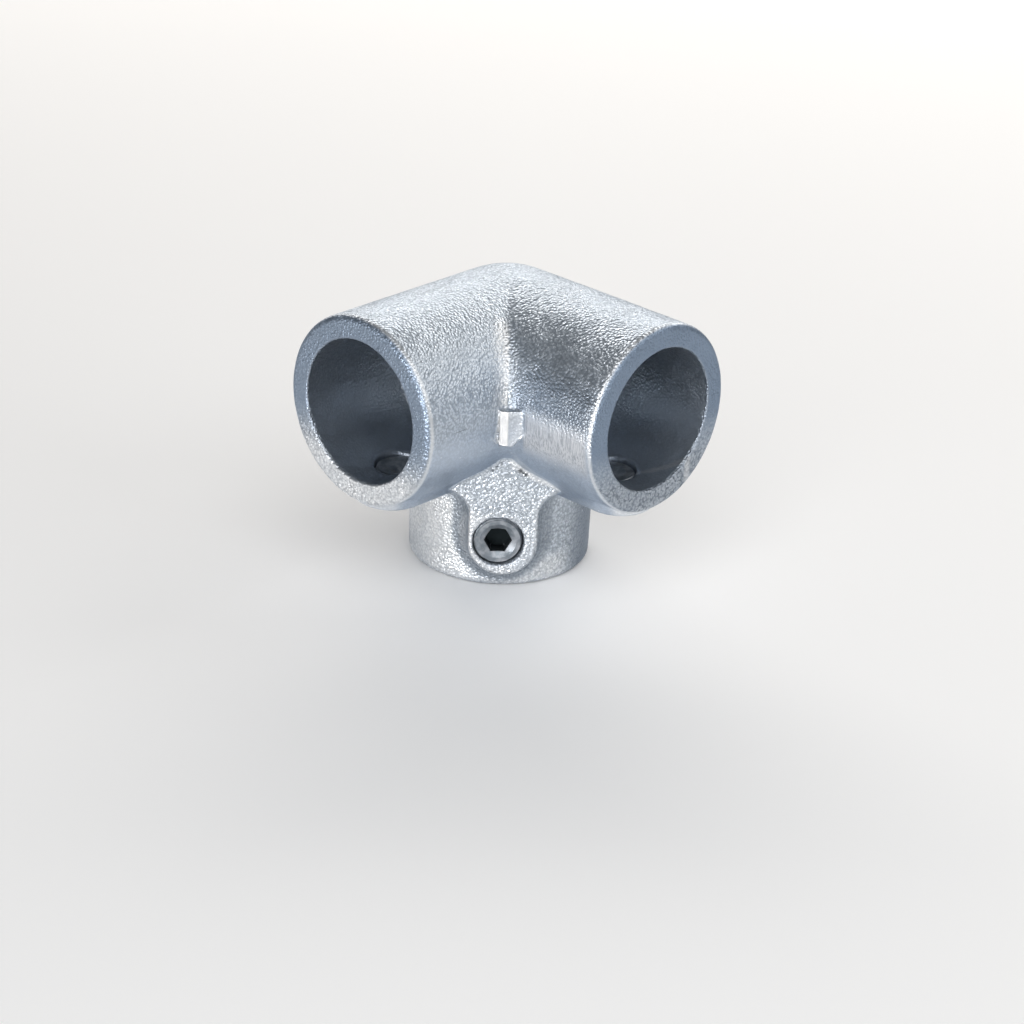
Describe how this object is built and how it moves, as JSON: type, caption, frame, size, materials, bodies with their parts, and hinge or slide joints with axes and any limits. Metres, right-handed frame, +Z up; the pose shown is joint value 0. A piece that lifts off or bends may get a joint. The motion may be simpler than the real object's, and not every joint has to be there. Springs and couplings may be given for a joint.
{
  "type": "three-way tube corner connector",
  "caption": "Cast galvanised corner connector with sockets for level rail tubes and an upright at right angles to each other, each locked by a hexagon-socket set screw.",
  "frame": {"origin": "centre of the upright socket's mouth, on the plane that the connector stands on", "axes": "+Z up along the upright socket, away from its mouth; +X out of the right rail socket; -Y out of the left rail socket"},
  "size_m": [0.1032, 0.1032, 0.1047],
  "materials": {
    "galvanised_iron": "hot-dip galvanised malleable iron, as cast",
    "screw_steel": "plain steel with a dull grey finish"
  },
  "bodies": {
    "casting": {"corner_casting": "galvanised_iron"},
    "upright_screw": {"upright_set_screw": "screw_steel"},
    "right_rail_screw": {"right_rail_set_screw": "screw_steel"},
    "left_rail_screw": {"left_rail_set_screw": "screw_steel"}
  },
  "joints": [
    {"name": "upright_screw_travel", "type": "slide", "parent": "casting", "child": "upright_screw", "axis": [-0.7071, 0.7071, 0], "range_m": [-0.006, 0.003]},
    {"name": "right_rail_screw_travel", "type": "slide", "parent": "casting", "child": "right_rail_screw", "axis": [0, 0, 1], "range_m": [-0.006, 0.003]},
    {"name": "left_rail_screw_travel", "type": "slide", "parent": "casting", "child": "left_rail_screw", "axis": [0, 0, 1], "range_m": [-0.006, 0.003]}
  ]
}
